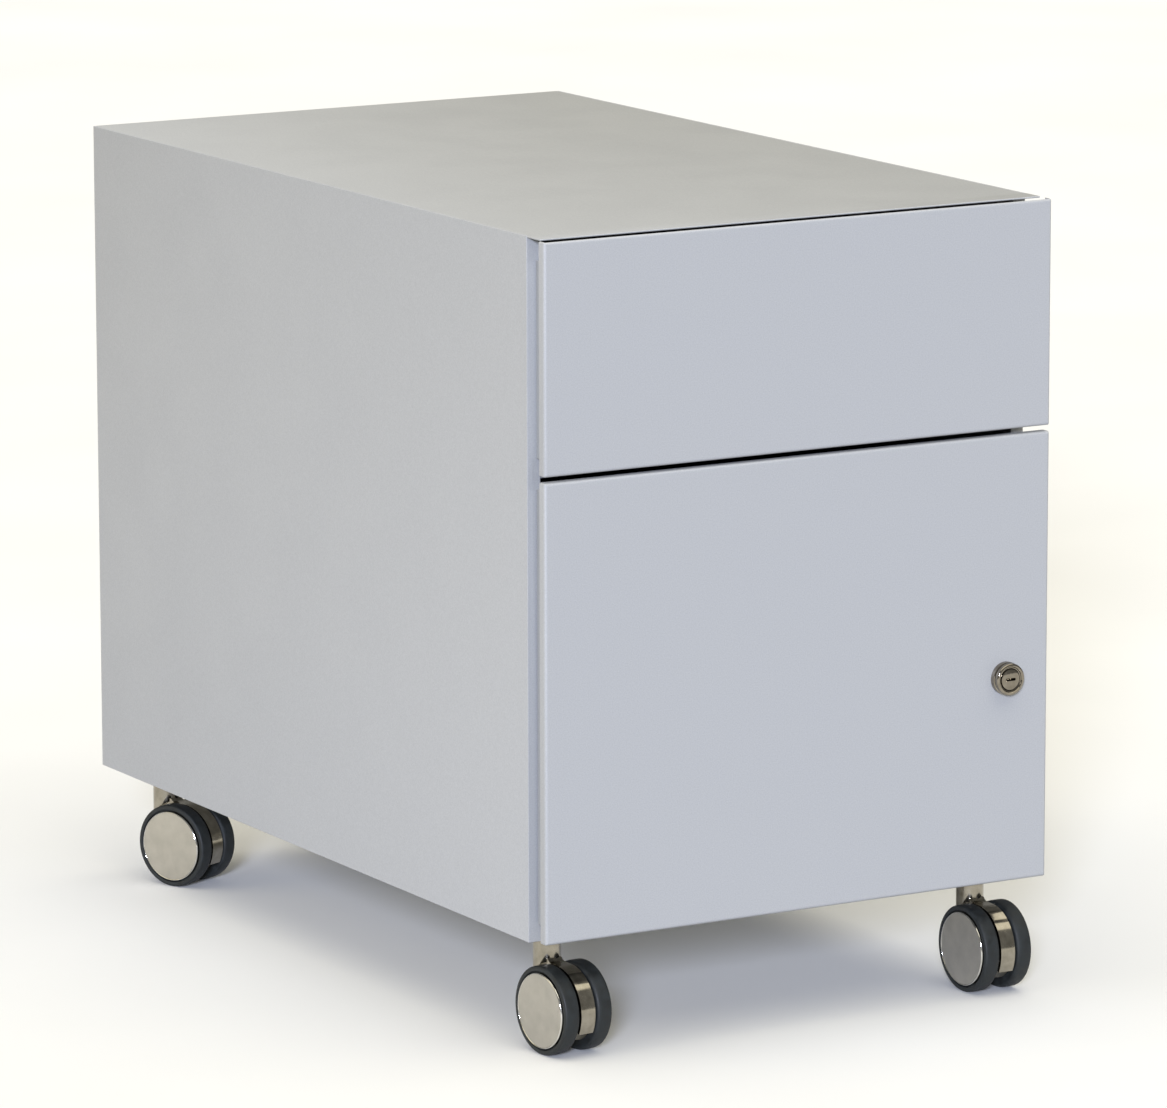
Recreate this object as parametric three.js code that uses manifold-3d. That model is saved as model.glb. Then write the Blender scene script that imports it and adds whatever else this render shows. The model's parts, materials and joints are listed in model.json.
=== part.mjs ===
// Mobile pedestal filing cabinet: a folded sheet-steel case on four twin-wheel castors,
// with a small upper drawer, a deep lower filing drawer and a cam lock.
// Millimetres, +Z up. The drawers open towards -Y. The origin is on the floor, under the
// middle of the bounding box.

import * as THREE from 'three';
import { mergeVertices } from 'three/addons/utils/BufferGeometryUtils.js';
import Module from 'manifold-3d';

const wasm = await Module();
wasm.setup();

// ---------- driving dimensions ----------

const CASE = { width: 386, height: 470, depth: 628, sheet: 1.2, flange: 12, frontFlange: 10, topLip: 18 };
const CASTOR = { height: 77.5, wheelRadius: 30, trail: 19, inset: 26, frontSetback: 21.3, rearSetback: 51.5 };
const FRONT = {
  standOff: 28, overhang: 3, panDepth: 7, gap: 4, upperHeight: 153.7, bottomLift: 4, topDrop: 0.8,
};
const LOCK = { fromRight: 34.5, aboveCase: 145.5, proud: 8, radius: 11.3, plugRadius: 7.2 };
const SLIDE = { height: 45, width: 12.7, length: 560, lugDepth: 9 };
const TRAY = { upperDepth: 560, lowerDepth: 590, upperHeight: 104, lowerHeight: 250 };
const FIT = 0.3;
const SHEET = CASE.sheet;

// ---------- places worked out from them ----------

const halfCase = CASE.width / 2;
const base = CASTOR.height;
const top = base + CASE.height;
const totalDepth = CASE.depth + FRONT.standOff + LOCK.proud;
const back = totalDepth / 2;
const caseFront = back - CASE.depth;
const panFace = caseFront - FRONT.standOff;
const halfFront = halfCase + FRONT.overhang;

const frontsTop = top - FRONT.topDrop;
const upperBottom = frontsTop - FRONT.upperHeight;
const lowerTop = upperBottom - FRONT.gap;
const lowerBottom = base + FRONT.bottomLift;

const slideOuter = halfCase - CASE.frontFlange - 0.5;
const trayHalf = slideOuter - SLIDE.width - FIT;
const slideFront = caseFront + 5;
const upperTrayFloor = upperBottom + 12;
const lowerTrayFloor = base + 19.5;
const upperSlideHeight = upperTrayFloor + 36;
const lowerSlideHeight = lowerTrayFloor + 110;

// ---------- finishes ----------

const finish = (color, roughness, metalness) => () =>
  new THREE.MeshStandardMaterial({ color, roughness, metalness });
const powderCoat = finish(0xbcc0c4, 0.55, 0.1);
const innerCoat = finish(0xb4b7ba, 0.6, 0.1);
const zincSteel = finish(0xb9bcbd, 0.35, 0.9);
const chrome = finish(0xcfd0ce, 0.12, 1.0);
const satinCap = finish(0xa8a69e, 0.35, 0.9);
const rubber = finish(0x23282b, 0.7, 0.0);

// ---------- solids ----------

// Puts each vertex of a piece exactly on one of two planes of an axis (0, 1 or 2).
function between(geometry, axis, low, high) {
  const position = geometry.attributes.position;
  const middle = (low + high) / 2;
  for (let i = 0; i < position.count; i++) {
    position.setComponent(i, axis, position.getComponent(i, axis) < middle ? low : high);
  }
  return geometry;
}

function block(x0, x1, y0, y1, z0, z1) {
  const box = new THREE.BoxGeometry(x1 - x0, y1 - y0, z1 - z0);
  box.translate((x0 + x1) / 2, (y0 + y1) / 2, (z0 + z1) / 2);
  return between(between(between(box, 0, x0, x1), 1, y0, y1), 2, z0, z1);
}

// A round bar along 'x', 'y' or 'z', from one coordinate to another on that axis.
function rod(axis, radius, from, to, [a, b] = [0, 0], sides = 32) {
  const bar = new THREE.CylinderGeometry(radius, radius, to - from, sides);
  bar.translate(0, (from + to) / 2, 0);
  if (axis === 'x') return between(bar.rotateZ(-Math.PI / 2).translate(0, a, b), 0, from, to);
  if (axis === 'z') return between(bar.rotateX(Math.PI / 2).translate(a, b, 0), 2, from, to);
  return between(bar.translate(a, 0, b), 1, from, to);
}

// A turned piece: [radius, distance along the axis] points, spun about X.
function turned(profile, sides) {
  const points = profile.map(([radius, along]) => new THREE.Vector2(radius, along));
  return new THREE.LatheGeometry(points, sides).rotateZ(-Math.PI / 2);
}

// A flat outline in [y, z], with its thickness from x0 to x1.
function plateAcross(outline, x0, x1) {
  const shape = new THREE.Shape(outline.map(([y, z]) => new THREE.Vector2(y, z)));
  const plate = new THREE.ExtrudeGeometry(shape, { depth: x1 - x0, bevelEnabled: false });
  return between(plate.rotateX(Math.PI / 2).rotateZ(Math.PI / 2).translate(x0, 0, 0), 0, x0, x1);
}

function toManifold(geometry) {
  const bare = geometry.clone();
  bare.deleteAttribute('normal');
  bare.deleteAttribute('uv');
  const merged = mergeVertices(bare, 1e-4);
  return new wasm.Manifold(new wasm.Mesh({
    numProp: 3,
    vertProperties: new Float32Array(merged.attributes.position.array),
    triVerts: new Uint32Array(merged.index.array),
  }));
}

function toGeometry(manifold) {
  const mesh = manifold.asOriginal().simplify(0.001).getMesh();
  const geometry = new THREE.BufferGeometry();
  geometry.setAttribute('position', new THREE.BufferAttribute(new Float32Array(mesh.vertProperties), 3));
  geometry.setIndex(new THREE.BufferAttribute(new Uint32Array(mesh.triVerts), 1));
  geometry.computeVertexNormals();
  return geometry;
}

const join = (...pieces) =>
  toGeometry(pieces.map(toManifold).reduce((whole, piece) => whole.add(piece)));
const cut = (piece, ...tools) =>
  toGeometry(tools.map(toManifold).reduce((rest, tool) => rest.subtract(tool), toManifold(piece)));

// An open box of sheet: the outside box less the inside box, which runs out through one face.
const hollow = (outside, inside) => cut(block(...outside), block(...inside));

const cabinet = new THREE.Group();

function part(parent, name, geometry, material) {
  const mesh = new THREE.Mesh(geometry, material());
  mesh.name = name;
  parent.add(mesh);
  return mesh;
}

// ---------- case ----------

// side is -1 for the left panel and +1 for the right one.
function sidePanel(side) {
  const across = (near, far) => (side < 0 ? [-near, -far] : [far, near]);
  const skin = block(...across(halfCase, halfCase - SHEET), caseFront, back, base, top);
  const front = block(
    ...across(halfCase, halfCase - CASE.frontFlange), caseFront, caseFront + SHEET, base, top - SHEET - FIT);
  const rear = block(
    ...across(halfCase, halfCase - CASE.flange), back - SHEET, back, base, top - SHEET - FIT);
  return join(skin, front, rear);
}

// The top lies between the side skins and runs forward as a plain lip over the drawer fronts' gap.
function topPanel() {
  const half = halfCase - SHEET - FIT;
  const under = top - CASE.flange;
  const plate = block(-half, half, caseFront - 1, back, top - SHEET, top);
  const lip = block(-halfCase, halfCase, caseFront - CASE.topLip, caseFront - FIT, top - SHEET, top);
  const inner = back - 2 * SHEET - 2 * FIT;
  const sides = [-1, 1].map((side) => {
    const [x0, x1] = side < 0 ? [-half, -half + SHEET] : [half - SHEET, half];
    return block(x0, x1, caseFront + 2 * SHEET, inner - SHEET - FIT, under, top);
  });
  return join(plate, lip, ...sides);
}

function backPanel() {
  const half = halfCase - SHEET - FIT;
  const outer = back - SHEET - FIT;
  return block(-half, half, outer - SHEET, outer, base + SHEET + FIT, top - SHEET - FIT);
}

const castorX = halfCase - CASTOR.inset;
const castorFrontY = caseFront + CASTOR.frontSetback;
const castorRearY = back - CASTOR.rearSetback;
const boltRadius = 5;

const boltHoles = (y, z0, z1) =>
  [-castorX, castorX].map((x) => rod('z', boltRadius + FIT, z0, z1, [x, y], 24));

function bottomPanel() {
  const half = halfCase - SHEET - FIT;
  const frontEdge = caseFront + SHEET + FIT;
  const rearEdge = back - SHEET - FIT;
  const over = base + CASE.flange;
  const tray = hollow(
    [-half, half, frontEdge, rearEdge, base, over],
    [-half + SHEET, half - SHEET, frontEdge + SHEET, rearEdge + 1, base + SHEET, over + 1]);
  const rearNotch = block(-half - 1, half + 1, rearEdge - 2 * SHEET, rearEdge + 1, base + SHEET, over + 1);
  return cut(tray, rearNotch,
    ...boltHoles(castorFrontY, base - 1, base + 3), ...boltHoles(castorRearY, base - 1, base + 3));
}

// An inverted channel over the base sheet that takes the castor bolts.
function castorChannel(y) {
  const half = halfCase - 2 * SHEET - 2 * FIT;
  const width = 16.5;
  const z0 = base + SHEET + FIT;
  const channel = hollow(
    [-half, half, y - width, y + width, z0, z0 + 11],
    [-half - 1, half + 1, y - width + SHEET, y + width - SHEET, z0 - 1, z0 + 11 - SHEET]);
  return cut(channel, ...boltHoles(y, z0, z0 + 12));
}

function middleRail() {
  const half = halfCase - SHEET - FIT;
  const z0 = lowerTop - 2;
  const y0 = caseFront + SHEET + FIT;
  return hollow(
    [-half, half, y0, y0 + 22, z0, z0 + 9],
    [-half - 1, half + 1, y0 + SHEET, y0 + 23, z0 - 1, z0 + 9 - SHEET]);
}

part(cabinet, 'left_side_panel', sidePanel(-1), powderCoat);
part(cabinet, 'right_side_panel', sidePanel(1), powderCoat);
part(cabinet, 'top_panel', topPanel(), powderCoat);
part(cabinet, 'back_panel', backPanel(), powderCoat);
part(cabinet, 'bottom_panel', bottomPanel(), powderCoat);
part(cabinet, 'front_castor_channel', castorChannel(castorFrontY), innerCoat);
part(cabinet, 'rear_castor_channel', castorChannel(castorRearY), innerCoat);
part(cabinet, 'middle_rail', middleRail(), innerCoat);

// ---------- telescopic slides ----------

// A channel that runs along Y. Its web is at one end of [u0, u1], counted inwards from the
// outer face of the slide, and its flanges reach across to the other end.
function slideChannel(side, height, [u0, u1], webAt, z, [y0, y1]) {
  const half = height / 2;
  const web = webAt === 'outer' ? [u0, u0 + SHEET] : [u1 - SHEET, u1];
  const across = ([a, b]) => (side < 0 ? [-slideOuter + a, -slideOuter + b] : [slideOuter - b, slideOuter - a]);
  return [
    block(...across(web), y0, y1, z - half, z + half),
    block(...across([u0, u1]), y0, y1, z + half - SHEET, z + half),
    block(...across([u0, u1]), y0, y1, z - half, z - half + SHEET),
  ];
}

const slideRun = [slideFront, slideFront + SLIDE.length];

function cabinetMember(side, z) {
  const lugs = [60, SLIDE.length - 60].map((along) => {
    const y = slideFront + along;
    const outer = halfCase - SHEET - FIT;
    const [x0, x1] = side < 0 ? [-outer, -slideOuter + SHEET] : [slideOuter - SHEET, outer];
    return block(x0, x1, y - 12, y + 12, z - SLIDE.lugDepth, z + SLIDE.lugDepth);
  });
  return join(...slideChannel(side, SLIDE.height, [0, 9], 'outer', z, slideRun), ...lugs);
}

const middleMember = (side, z) =>
  join(...slideChannel(side, SLIDE.height - 6, [3, 9.6], 'outer', z, slideRun));
const drawerMember = (side, z) =>
  join(...slideChannel(side, SLIDE.height - 12, [6, SLIDE.width], 'inner', z, slideRun));

for (const [drawer, z] of [['upper', upperSlideHeight], ['lower', lowerSlideHeight]]) {
  for (const [name, side] of [['left', -1], ['right', 1]]) {
    part(cabinet, `${drawer}_${name}_cabinet_rail`, cabinetMember(side, z), zincSteel);
    part(cabinet, `${drawer}_${name}_middle_rail`, middleMember(side, z), zincSteel);
    part(cabinet, `${drawer}_${name}_drawer_rail`, drawerMember(side, z), zincSteel);
  }
}

// ---------- drawers ----------

const lockX = halfFront - LOCK.fromRight;
const lockZ = base + LOCK.aboveCase;
const lockBore = () => rod('y', LOCK.radius - 1.8 + FIT, panFace - 1, caseFront, [lockX, lockZ], 36);

// The outer pan: the face and its folded edges, open at the back. The upper one has none along its top.
const frontPan = (z0, z1, innerTop = z1 - SHEET) => hollow(
  [-halfFront, halfFront, panFace, panFace + FRONT.panDepth, z0, z1],
  [-halfFront + SHEET, halfFront - SHEET, panFace + SHEET, panFace + FRONT.panDepth + 1, z0 + SHEET, innerTop]);

// The inner pan, smaller than the face all round, which leaves the finger grips at both sides.
const gripDepth = 9;
const backingRear = caseFront - 1.5;
function backing(z0, z1) {
  const half = halfFront - gripDepth;
  const frontEdge = panFace + SHEET + FIT;
  return hollow(
    [-half, half, frontEdge, backingRear, z0, z1],
    [-half + SHEET, half - SHEET, frontEdge - 1, backingRear - SHEET, z0 + SHEET, z1 - SHEET]);
}

// The drawer body: a box with a narrow lip turned in along the top of each side. With openEnds it
// is a plain folded channel.
function tray(z0, height, depth, openEnds) {
  const z1 = z0 + height;
  const lip = 6;
  const y0 = backingRear + FIT;
  const y1 = y0 + depth;
  const reach = openEnds ? -1 : SHEET;
  const box = hollow(
    [-trayHalf, trayHalf, y0, y1, z0, z1],
    [-trayHalf + SHEET, trayHalf - SHEET, y0 + reach, y1 - reach, z0 + SHEET, z1 + 1]);
  const left = block(-trayHalf, -trayHalf + lip, y0, y1, z1 - SHEET, z1);
  const right = block(trayHalf - lip, trayHalf, y0, y1, z1 - SHEET, z1);
  return join(box, left, right);
}

// The plate that closes the back of the upper drawer's folded channel.
function upperTrayBack() {
  const half = trayHalf - SHEET - FIT;
  const y1 = backingRear + FIT + TRAY.upperDepth;
  const z1 = upperTrayFloor + TRAY.upperHeight;
  return block(-half, half, y1 - SHEET, y1, upperTrayFloor + SHEET + FIT, z1 - SHEET - FIT);
}

// A strip of angle on each side wall of the filing drawer, for the hooks of hanging folders.
function fileRail(side) {
  const z0 = lowerTrayFloor + TRAY.lowerHeight + FIT;
  const [x0, x1] = side < 0 ? [-trayHalf, -trayHalf + 5] : [trayHalf - 5, trayHalf];
  const [e0, e1] = side < 0 ? [x1 - 2, x1] : [x0, x0 + 2];
  const y0 = backingRear + 12;
  const y1 = y0 + TRAY.lowerDepth - 24;
  return join(block(x0, x1, y0, y1, z0, z0 + 2), block(e0, e1, y0, y1, z0, z0 + 12));
}

part(cabinet, 'upper_drawer_front', frontPan(upperBottom, frontsTop, frontsTop + 1), powderCoat);
part(cabinet, 'upper_drawer_backing', backing(upperBottom + 8, top - 16), innerCoat);
part(cabinet, 'upper_drawer_tray', tray(upperTrayFloor, TRAY.upperHeight, TRAY.upperDepth, true), innerCoat);
part(cabinet, 'upper_drawer_tray_back', upperTrayBack(), innerCoat);

part(cabinet, 'lower_drawer_front', cut(frontPan(lowerBottom, lowerTop), lockBore()), powderCoat);
part(cabinet, 'lower_drawer_backing', backing(lowerBottom + 8, lowerTop - 8), innerCoat);
part(cabinet, 'lower_drawer_tray', tray(lowerTrayFloor, TRAY.lowerHeight, TRAY.lowerDepth, false), innerCoat);
part(cabinet, 'left_file_rail', fileRail(-1), zincSteel);
part(cabinet, 'right_file_rail', fileRail(1), zincSteel);

// ---------- lock ----------

// The turned pieces are drawn along their axis from the front and then laid along +Y.
const alongY = (geometry) => geometry.rotateZ(Math.PI / 2).translate(lockX, 0, lockZ);

function lockHousing() {
  const bore = LOCK.plugRadius + FIT;
  const face = panFace - LOCK.proud;
  const body = LOCK.radius - 1.8;
  const shell = panFace + 18;
  return alongY(turned([
    [bore, face], [LOCK.radius - 1.2, face], [LOCK.radius - 0.3, face + 0.8], [LOCK.radius - 0.3, face + 4],
    [LOCK.radius, face + 4.3], [LOCK.radius, panFace - FIT], [body, panFace - FIT], [body, shell],
    [bore, shell], [bore, face],
  ], 36));
}

function lockPlug() {
  const face = panFace - LOCK.proud + 0.6;
  const tail = panFace + 20;
  const plug = rod('y', LOCK.plugRadius, face, tail, [lockX, lockZ], 32);
  const spigot = rod('y', 3, tail - 1, tail + 3.5, [lockX, lockZ], 16);
  const keyway = block(lockX - 3.6, lockX + 3.6, face - 1, face + 12, lockZ - 0.7, lockZ + 0.7);
  return cut(join(plug, spigot), keyway);
}

function lockCam() {
  const y0 = panFace + 20 + FIT;
  const bar = block(lockX - 5, lockX + 5, y0, y0 + 2, lockZ - 20, lockZ + 6);
  return cut(bar, rod('y', 3 + FIT, y0 - 1, y0 + 3, [lockX, lockZ], 16));
}

part(cabinet, 'lock_housing', lockHousing(), chrome);
part(cabinet, 'lock_plug', lockPlug(), chrome);
part(cabinet, 'lock_cam', lockCam(), zincSteel);

// ---------- castors ----------

// Each castor is drawn about its swivel axis with the floor at z = 0.
const WHEEL = { inner: 7.1, outer: 19.1, capRadius: 25.5, axleRadius: 3, sides: 32 };
const HOOD = { halfWidth: 5.6, radius: 28.8, wall: 2.4, below: 13, neckRadius: 9.5, neckTop: 75.7 };
const wheelCentre = [-CASTOR.trail, CASTOR.wheelRadius];

function castorStem() {
  const pin = rod('z', boltRadius, HOOD.neckTop - 15, base + 16, [0, 0], 24);
  const washer = rod('z', 8, HOOD.neckTop + FIT, base - FIT, [0, 0], 24);
  const nut = rod('z', 8.5, base + SHEET + 11 + 2 * FIT, base + SHEET + 16, [0, 0], 6);
  return join(pin, washer, nut);
}

// Points of an arc about the wheel centre. Angles are from +Y towards +Z, in degrees.
function arc(radius, from, to, steps) {
  return Array.from({ length: steps + 1 }, (_, i) => {
    const angle = THREE.MathUtils.degToRad(from + ((to - from) * i) / steps);
    return [wheelCentre[0] + radius * Math.cos(angle), wheelCentre[1] + radius * Math.sin(angle)];
  });
}

// The hood: a neck round the stem, and a band over the gap between the wheels, on a web
// that carries the axle.
function castorHood() {
  const end = 180 + THREE.MathUtils.radToDeg(Math.asin(HOOD.below / HOOD.radius));
  const start = 35;
  const inside = HOOD.radius - HOOD.wall;
  const band = plateAcross(
    [...arc(HOOD.radius, start, end, 14), ...arc(inside, end, start, 14)], -HOOD.halfWidth, HOOD.halfWidth);
  const web = plateAcross([wheelCentre, ...arc(inside + 0.5, start, 170, 10)], -2, 2);
  const crown = wheelCentre[1] + HOOD.radius;
  const shoulder = plateAcross(
    [[0, crown - 2], [0, crown + 3.2], [-HOOD.neckRadius, crown + 3.2], [-HOOD.neckRadius - 3.5, crown + 0.8],
      [wheelCentre[0], crown], [wheelCentre[0], crown - 2]], -HOOD.halfWidth, HOOD.halfWidth);
  const boss = rod('x', 8, -HOOD.halfWidth, HOOD.halfWidth, wheelCentre, 24);
  const neck = rod('z', HOOD.neckRadius, 42, HOOD.neckTop, [0, 0], 32);
  const solid = join(band, web, shoulder, boss, neck);
  const clearance = [[-30, -HOOD.halfWidth], [HOOD.halfWidth, 30]].map(([x0, x1]) =>
    rod('x', CASTOR.wheelRadius + 1.5, x0, x1, wheelCentre, 36));
  const bore = rod('z', boltRadius + FIT, HOOD.neckTop - 16, HOOD.neckTop + 1, [0, 0], 24);
  const axleHole = rod('x', WHEEL.axleRadius + FIT, -10, 10, wheelCentre, 20);
  return cut(solid, ...clearance, bore, axleHole);
}

const wheelPiece = (profile, side) => {
  const piece = turned(profile, WHEEL.sides);
  if (side < 0) piece.rotateZ(Math.PI);
  return piece.rotateX(Math.PI / 2).translate(0, ...wheelCentre);
};

function tyre(side) {
  const tread = CASTOR.wheelRadius;
  const seat = WHEEL.capRadius - 2.2;
  return wheelPiece([
    [seat, WHEEL.inner], [tread - 1.5, WHEEL.inner], [tread, WHEEL.inner + 2.5], [tread, WHEEL.outer - 2.2],
    [tread - 1.4, WHEEL.outer - 0.4], [WHEEL.capRadius + 0.6, WHEEL.outer - 0.4],
    [WHEEL.capRadius + 0.6, WHEEL.outer - 3], [seat, WHEEL.outer - 3], [seat, WHEEL.inner],
  ], side);
}

function wheelHub(side) {
  const rim = WHEEL.capRadius - 2.2 - FIT;
  const bore = WHEEL.axleRadius + FIT;
  const lip = WHEEL.outer - 3 + FIT;
  return wheelPiece([
    [bore, WHEEL.inner], [rim, WHEEL.inner], [rim, lip], [WHEEL.capRadius, lip],
    [WHEEL.capRadius, WHEEL.outer + 0.5], [0, WHEEL.outer + 0.5], [0, WHEEL.outer - 2],
    [bore, WHEEL.outer - 2], [bore, WHEEL.inner],
  ], side);
}

// Turns are counter-clockwise from above; at 0 the wheels trail towards -Y.
const castors = [
  { name: 'front_left', x: -castorX, y: castorFrontY, turn: 5 },
  { name: 'front_right', x: castorX, y: castorFrontY, turn: 0.5 },
  { name: 'rear_left', x: -castorX, y: castorRearY, turn: 23.5 },
  { name: 'rear_right', x: castorX, y: castorRearY, turn: -12 },
];

for (const { name, x, y, turn } of castors) {
  const place = new THREE.Group();
  place.position.set(x, y, 0);
  place.rotation.z = THREE.MathUtils.degToRad(turn);
  cabinet.add(place);
  const axleEnd = WHEEL.outer - 2 - FIT;
  part(place, `${name}_castor_stem`, castorStem(), zincSteel);
  part(place, `${name}_castor_hood`, castorHood(), chrome);
  part(place, `${name}_axle`, rod('x', WHEEL.axleRadius, -axleEnd, axleEnd, wheelCentre, 20), zincSteel);
  for (const [end, side] of [['left', -1], ['right', 1]]) {
    part(place, `${name}_${end}_tyre`, tyre(side), rubber);
    part(place, `${name}_${end}_hub`, wheelHub(side), satinCap);
  }
}

export default cabinet;
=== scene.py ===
"""A low steel pedestal filing cabinet on twin-wheel castors, dressed round its CAD frame.

Every piece is made in metres in the CAD's own frame. Sizes that the CAD settles are read
from its boxes and joints, and the rest are fields of the class that makes the piece.
"""

import json
import logging
import math
from collections.abc import Iterable, Sequence
from dataclasses import dataclass, field
from enum import Enum

import bmesh
import bpy
from mathutils import Matrix, Vector


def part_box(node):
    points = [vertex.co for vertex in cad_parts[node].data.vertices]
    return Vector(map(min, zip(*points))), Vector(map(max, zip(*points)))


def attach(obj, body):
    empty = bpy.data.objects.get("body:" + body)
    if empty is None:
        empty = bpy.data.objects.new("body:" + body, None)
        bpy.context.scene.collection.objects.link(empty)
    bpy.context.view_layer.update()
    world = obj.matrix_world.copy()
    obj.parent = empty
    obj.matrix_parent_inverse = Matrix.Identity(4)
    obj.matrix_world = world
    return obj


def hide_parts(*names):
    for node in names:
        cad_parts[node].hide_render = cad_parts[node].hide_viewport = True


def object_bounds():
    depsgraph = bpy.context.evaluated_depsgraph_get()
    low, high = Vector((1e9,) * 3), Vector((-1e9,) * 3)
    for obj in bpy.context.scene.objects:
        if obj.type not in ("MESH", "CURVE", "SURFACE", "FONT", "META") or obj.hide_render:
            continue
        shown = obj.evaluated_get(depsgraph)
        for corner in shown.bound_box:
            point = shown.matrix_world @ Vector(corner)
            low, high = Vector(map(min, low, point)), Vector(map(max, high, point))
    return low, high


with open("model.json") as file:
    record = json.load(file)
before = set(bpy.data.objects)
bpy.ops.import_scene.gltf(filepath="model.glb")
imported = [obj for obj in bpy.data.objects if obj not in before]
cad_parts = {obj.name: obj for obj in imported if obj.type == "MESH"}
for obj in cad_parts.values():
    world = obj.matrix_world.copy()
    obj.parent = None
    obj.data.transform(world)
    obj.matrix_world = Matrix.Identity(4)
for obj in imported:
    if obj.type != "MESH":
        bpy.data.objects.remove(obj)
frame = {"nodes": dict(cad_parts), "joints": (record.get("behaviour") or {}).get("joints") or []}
CAD_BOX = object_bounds()

log = logging.getLogger("cabinet")

MM = 0.001

Point2 = tuple[float, float]
Point3 = tuple[float, float, float]


class Side(Enum):
    """Left and right, seen from the front."""

    LEFT = -1
    RIGHT = 1

    @property
    def word(self) -> str:
        """The side's name as the CAD nodes spell it."""
        return self.name.lower()


class Drawer(Enum):
    """The two drawers."""

    UPPER = "upper"
    LOWER = "lower"

    @property
    def body(self) -> str:
        """The CAD body that slides."""
        return f"{self.value}_drawer"


class Lay(Enum):
    """How a flat outline (a, b) and its depth lie in the object's frame."""

    FACING_FRONT = ((1, 0, 0), (0, 0, 1), (0, 1, 0))
    OPEN_UPWARDS = ((1, 0, 0), (0, 1, 0), (0, 0, 1))

    def place(self, a: float, b: float, depth: float) -> Point3:
        """Gives a point of the outline's plane, moved by a depth, in the object's frame."""
        along, up, into = self.value
        return tuple(a * along[i] + b * up[i] + depth * into[i] for i in range(3))


# ---------------------------------------------------------------- finishes


def linear(hex_colour: str) -> tuple[float, float, float, float]:
    """Turns an sRGB hex colour into linear RGBA.

    Args:
        hex_colour: six hexadecimal digits after a hash.

    Returns:
        Red, green, blue and an alpha of 1.
    """
    parts = [int(hex_colour[i : i + 2], 16) / 255 for i in (1, 3, 5)]
    low = [c / 12.92 if c <= 0.04045 else ((c + 0.055) / 1.055) ** 2.4 for c in parts]
    return (low[0], low[1], low[2], 1.0)


def add_node(
    tree: bpy.types.NodeTree, kind: str, settings: dict | None = None, links: dict | None = None
) -> bpy.types.Node:
    """Adds one node to a tree.

    Args:
        tree: the tree that takes the node.
        kind: the node's type name.
        settings: attribute names, or input names and indices, and their values.
        links: input names or indices, and the output sockets that feed them.

    Returns:
        The new node.
    """
    node = tree.nodes.new(kind)
    for key, value in (settings or {}).items():
        if isinstance(key, str) and hasattr(node, key):
            setattr(node, key, value)
        else:
            node.inputs[key].default_value = value
    for key, source in (links or {}).items():
        tree.links.new(source, node.inputs[key])
    return node


@dataclass(frozen=True)
class Finish:
    """One surface finish and how it is drawn."""

    name: str
    slot: str

    def surface(self, tree: bpy.types.NodeTree, shader: bpy.types.Node, place: bpy.types.NodeSocket) -> None:
        """Fills in the shader; each finish has its own way.

        Args:
            tree: the material's tree.
            shader: the shader to fill in.
            place: the coordinates, in metres.
        """
        raise NotImplementedError

    def material(self) -> bpy.types.Material:
        """Makes the material, or gives back the one already made.

        Returns:
            The material, shared by every piece with this finish.
        """
        made = bpy.data.materials.get(self.name)
        if made:
            return made
        made = bpy.data.materials.new(self.name)
        made.use_nodes = True
        tree = made.node_tree
        tree.nodes.clear()
        out = tree.nodes.new("ShaderNodeOutputMaterial")
        shader = tree.nodes.new("ShaderNodeBsdfPrincipled")
        tree.links.new(shader.outputs[0], out.inputs["Surface"])
        where = tree.nodes.new("ShaderNodeTexCoord")
        self.surface(tree, shader, where.outputs["Object"])
        return made


def noise(
    tree: bpy.types.NodeTree, place: bpy.types.NodeSocket, size_mm: float, detail: float = 2.0,
    stretch: Point3 = (1, 1, 1),
) -> bpy.types.NodeSocket:
    """Noise whose lumps are about size_mm across.

    Args:
        tree: the material's tree.
        place: the coordinates, in metres.
        size_mm: the size of one lump.
        detail: how many finer layers it has.
        stretch: how many times finer it is along each axis.

    Returns:
        The socket with the noise, about 0.5 on average.
    """
    spread = add_node(tree, "ShaderNodeMapping", {"Scale": stretch}, {"Vector": place})
    grain = add_node(
        tree, "ShaderNodeTexNoise",
        {"Scale": 1 / (size_mm * MM), "Detail": detail}, {"Vector": spread.outputs[0]},
    )
    return grain.outputs["Fac"]


def between(
    tree: bpy.types.NodeTree, value: bpy.types.NodeSocket, low: float, high: float,
    start: float = 0.3, stop: float = 0.7,
) -> bpy.types.NodeSocket:
    """Maps noise to a range of values, such as a roughness.

    Args:
        tree: the material's tree.
        value: the noise.
        low: the lowest value wanted.
        high: the highest value wanted.
        start: the noise that gives the lowest value.
        stop: the noise that gives the highest value.

    Returns:
        The socket with the value.
    """
    change = add_node(
        tree, "ShaderNodeMapRange",
        {"From Min": start, "From Max": stop, "To Min": low, "To Max": high}, {"Value": value},
    )
    return change.outputs[0]


def shade_between(
    tree: bpy.types.NodeTree, value: bpy.types.NodeSocket, dark: str, light: str,
    start: float = 0.3, stop: float = 0.7,
) -> bpy.types.NodeSocket:
    """Maps noise to a colour between two hex colours.

    Args:
        tree: the material's tree.
        value: the noise.
        dark: the colour at and below start.
        light: the colour at and above stop.
        start: the noise that gives the dark colour.
        stop: the noise that gives the light colour.

    Returns:
        The socket with the colour.
    """
    ramp = tree.nodes.new("ShaderNodeValToRGB")
    ends = ramp.color_ramp.elements
    ends[0].position, ends[1].position = start, stop
    ends[0].color, ends[1].color = linear(dark), linear(light)
    tree.links.new(value, ramp.inputs[0])
    return ramp.outputs[0]


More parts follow.
